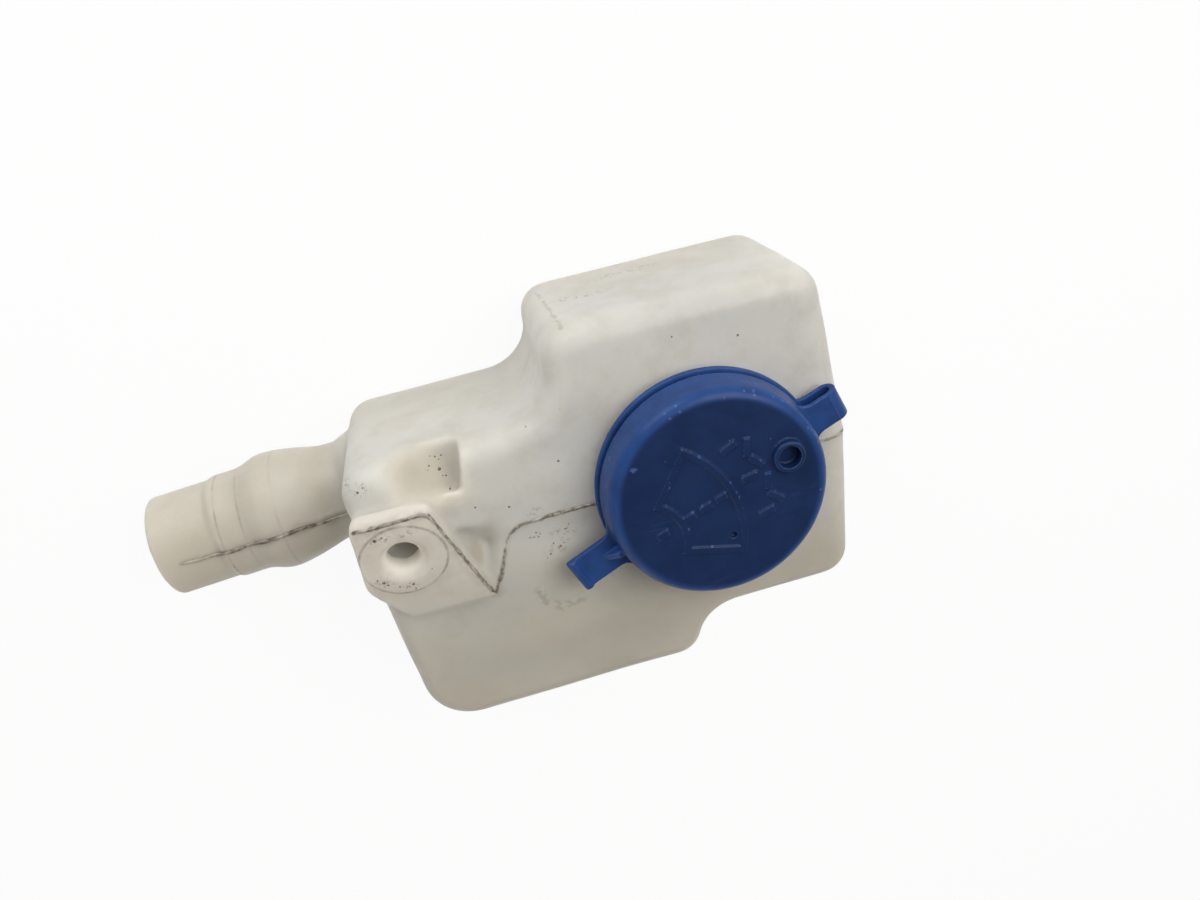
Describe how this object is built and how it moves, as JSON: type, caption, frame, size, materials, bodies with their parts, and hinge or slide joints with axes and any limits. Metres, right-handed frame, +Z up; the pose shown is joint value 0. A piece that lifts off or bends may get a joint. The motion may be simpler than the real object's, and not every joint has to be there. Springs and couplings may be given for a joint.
{
  "type": "windscreen washer fluid reservoir",
  "caption": "Blow-moulded windscreen washer fluid tank with a stepped body, a mounting lug, a side hose pipe and a tethered snap cap.",
  "frame": {"origin": "on the filler neck's axis, in the plane of the flat base", "axes": "+Z up along the filler neck; -X towards the hose pipe; Y across the mould's parting line"},
  "size_m": [0.1971, 0.109, 0.0806],
  "materials": {
    "tank": "translucent satin polyethylene",
    "cap": "satin moulded polypropylene"
  },
  "bodies": {
    "tank": {"tank_shell": "tank"},
    "ring": {"retaining_ring": "cap", "hinge_loop": "cap"},
    "cap": {"filler_cap": "cap"}
  },
  "joints": [
    {"name": "ring_swivel", "type": "hinge", "parent": "tank", "child": "ring", "pos_m": [0, 0, 0.0652], "axis": [0, 0, 1], "continuous": true},
    {"name": "cap_hinge", "type": "hinge", "parent": "ring", "child": "cap", "pos_m": [0.03477, 0.01265, 0.0684], "axis": [-0.342, 0.9397, 0], "range_deg": [0, 140], "deforming": ["hinge_loop"]}
  ]
}
